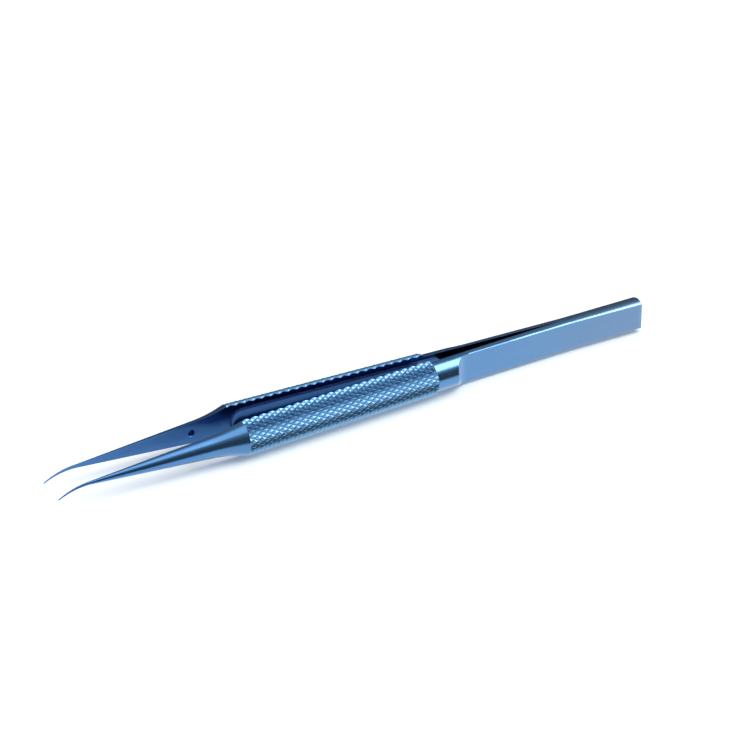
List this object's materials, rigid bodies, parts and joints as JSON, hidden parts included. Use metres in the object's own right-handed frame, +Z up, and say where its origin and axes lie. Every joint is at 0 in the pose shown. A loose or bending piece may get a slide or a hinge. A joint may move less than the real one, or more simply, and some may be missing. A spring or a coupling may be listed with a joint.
{
  "type": "precision tweezers",
  "caption": "Fine-point tweezers with curved tips, round knurled half-bar grips and flat spring leaves joined at the rear end.",
  "frame": {"origin": "under the middle of the object, on the surface that it lies on", "axes": "+X from the points to the joined end, +Z up with the tweezers lying on the side, the left arm on -Y; the arms close along Y"},
  "size_m": [0.14, 0.0146, 0.008],
  "materials": {
    "anodised_titanium": "satin blue anodised titanium",
    "weld_titanium": "ground flush, anodised with the leaves",
    "pin_steel": "satin"
  },
  "bodies": {
    "joined_end": {"left_leaf_end": "anodised_titanium", "right_leaf_end": "anodised_titanium", "weld_seam": "weld_titanium", "left_leaf_spring": "anodised_titanium", "right_leaf_spring": "anodised_titanium"},
    "left_jaw": {"left_arm": "anodised_titanium", "guide_pin": "pin_steel"},
    "right_jaw": {"right_arm": "anodised_titanium"}
  },
  "joints": [
    {"name": "left_leaf_flex", "type": "hinge", "parent": "joined_end", "child": "left_jaw", "pos_m": [0.03904, -0.00113, 0.004], "axis": [0, 0, -1], "range_deg": [-0.5, 1.86], "stiffness_Nm_per_rad": 4.7, "deforming": ["left_leaf_spring"]},
    {"name": "right_leaf_flex", "type": "hinge", "parent": "joined_end", "child": "right_jaw", "pos_m": [0.03904, 0.00113, 0.004], "axis": [0, 0, 1], "range_deg": [-0.5, 1.86], "stiffness_Nm_per_rad": 4.7, "deforming": ["right_leaf_spring"]}
  ]
}
